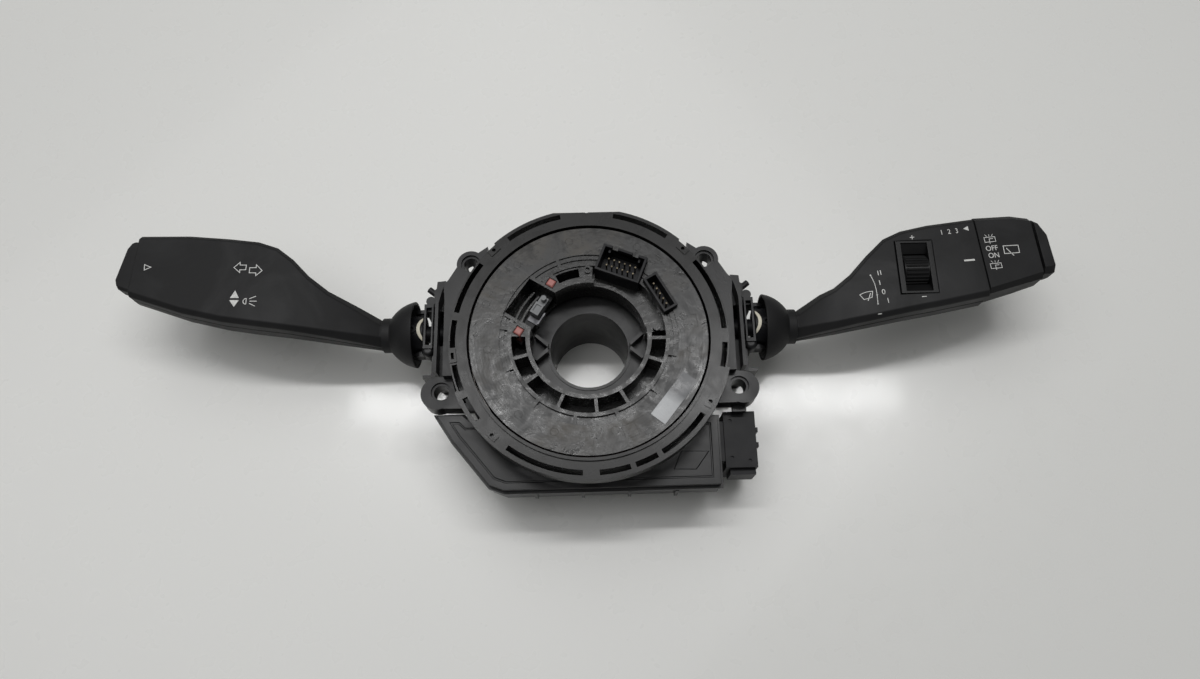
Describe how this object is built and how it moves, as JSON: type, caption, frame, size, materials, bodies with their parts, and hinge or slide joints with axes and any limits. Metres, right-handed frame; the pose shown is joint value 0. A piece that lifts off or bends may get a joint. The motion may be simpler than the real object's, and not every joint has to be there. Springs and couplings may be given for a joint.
{
  "type": "steering column switch module",
  "caption": "Steering-column switch module: round rotating contact unit in a four-eared carrier, lamp stalk on the left wiper stalk with twist ring, thumbwheel and end button right.",
  "frame": {"origin": "centre of the column bore at the rear rest plane", "axes": "+Z along the column towards the driver, +Y up as installed, stalks along -X (lamps) and +X (wipers)"},
  "size_m": [0.416, 0.1191, 0.0642],
  "materials": {
    "frame_plastic": "glass-filled black nylon, satin",
    "ring_plastic": "glass-filled black plastic, satin with faint flow marks",
    "rotor_plastic": "glass-filled black plastic, semi-gloss with cloudy flow marks",
    "box_plastic": "black plastic, satin",
    "plug_plastic": "black connector plastic",
    "stalk_skin": "fine-grained soft black",
    "arm_plastic": "black plastic",
    "wheel_plastic": "smooth black plastic",
    "cream_acetal": "natural acetal",
    "release_pink": "salmon pink plastic",
    "grey_lever": "grey plastic",
    "label_film": "blank silver-grey label film, semi-gloss",
    "contact_metal": "tinned contact metal",
    "spring_steel": "bright steel",
    "board_laminate": "green circuit board",
    "chip_body": "moulded chip bodies",
    "ribbon_film": "amber flat cable"
  },
  "bodies": {
    "module": {"board_components": "chip_body", "carrier_frame": "frame_plastic", "carrier_screws": "spring_steel", "cassette_floor": "ring_plastic", "circuit_board": "board_laminate", "contact_board_left": "board_laminate", "contact_board_right": "board_laminate", "detent_ramp_left": "cream_acetal", "detent_ramp_right": "cream_acetal", "electronics_cover": "box_plastic", "electronics_housing": "box_plastic", "ribbon_coil": "ribbon_film", "stator_ring": "ring_plastic", "switch_cover_left": "frame_plastic", "switch_cover_right": "frame_plastic", "switch_housing_left": "frame_plastic", "switch_housing_right": "frame_plastic", "vehicle_connector": "plug_plastic", "vehicle_connector_pins": "contact_metal"},
    "rotor": {"rotor_disc": "rotor_plastic", "horn_connector": "plug_plastic", "airbag_connector": "plug_plastic", "horn_connector_pins": "contact_metal", "airbag_connector_pins": "contact_metal", "label_plate": "label_film", "lock_spring": "spring_steel"},
    "lock": {"lock_slide": "plug_plastic", "lock_pins": "release_pink", "lock_lever": "grey_lever", "lock_leaf": "spring_steel"},
    "yoke_left": {"yoke_left": "arm_plastic", "guide_shell_left": "cream_acetal"},
    "lever_left": {"stalk_left_front": "stalk_skin", "stalk_left_rear": "stalk_skin", "stalk_arm_left": "arm_plastic", "dust_cap_left": "stalk_skin", "plunger_left": "spring_steel", "plunger_spring_left": "spring_steel", "button_plate_left": "arm_plastic", "button_spring_left": "spring_steel"},
    "end_button_left": {"button_left": "stalk_skin"},
    "yoke_right": {"yoke_right": "arm_plastic", "guide_shell_right": "cream_acetal"},
    "lever_right": {"stalk_right_front": "stalk_skin", "stalk_right_rear": "stalk_skin", "stalk_arm_right": "arm_plastic", "dust_cap_right": "stalk_skin", "plunger_right": "spring_steel", "plunger_spring_right": "spring_steel", "knob_core": "arm_plastic", "wheel_bezel": "wheel_plastic", "thumbwheel_axle": "spring_steel", "button_spring_right": "spring_steel"},
    "twist_ring": {"ring_knob": "stalk_skin"},
    "wheel": {"thumbwheel": "wheel_plastic"},
    "end_button_right": {"button_right": "stalk_skin"}
  },
  "joints": [
    {"name": "rotor_turn", "type": "hinge", "parent": "module", "child": "rotor", "pos_m": [0, 0, 0.05], "axis": [0, 0, 1], "range_deg": [-900, 900]},
    {"name": "lock_press", "type": "slide", "parent": "rotor", "child": "lock", "axis": [0, 0, -1], "range_m": [0, 0.003], "stiffness_N_per_m": 250, "springref_m": -0.001, "deforming": ["lock_spring"]},
    {"name": "left_pull", "type": "hinge", "parent": "module", "child": "yoke_left", "pos_m": [-0.0764, 0.0136, 0.028], "axis": [0, 1, 0], "range_deg": [-4, 5], "stiffness_Nm_per_rad": 15},
    {"name": "left_swing", "type": "hinge", "parent": "yoke_left", "child": "lever_left", "pos_m": [-0.0795, 0.0136, 0.028], "axis": [0, 0, 1], "range_deg": [-8, 8], "stiffness_Nm_per_rad": 6},
    {"name": "left_button_press", "type": "slide", "parent": "lever_left", "child": "end_button_left", "axis": [0.9976, -0.0698, 0], "range_m": [0, 0.0012], "stiffness_N_per_m": 800, "springref_m": -0.0005},
    {"name": "right_pull", "type": "hinge", "parent": "module", "child": "yoke_right", "pos_m": [0.0764, 0.0136, 0.028], "axis": [0, -1, 0], "range_deg": [0, 6], "stiffness_Nm_per_rad": 15, "springref_deg": -1.72},
    {"name": "right_swing", "type": "hinge", "parent": "yoke_right", "child": "lever_right", "pos_m": [0.0795, 0.0136, 0.028], "axis": [0, 0, 1], "range_deg": [-6, 12]},
    {"name": "ring_twist", "type": "hinge", "parent": "lever_right", "child": "twist_ring", "pos_m": [0.1739, 0.0374, 0.043], "axis": [0.9976, 0.0698, 0], "range_deg": [-15, 30]},
    {"name": "wheel_roll", "type": "hinge", "parent": "lever_right", "child": "wheel", "pos_m": [0.1446, 0.0324, 0.0448], "axis": [1, 0, 0], "range_deg": [-40, 40]},
    {"name": "right_button_press", "type": "slide", "parent": "lever_right", "child": "end_button_right", "axis": [-0.9976, -0.0698, 0], "range_m": [0, 0.0012], "stiffness_N_per_m": 800, "springref_m": -0.0005}
  ]
}
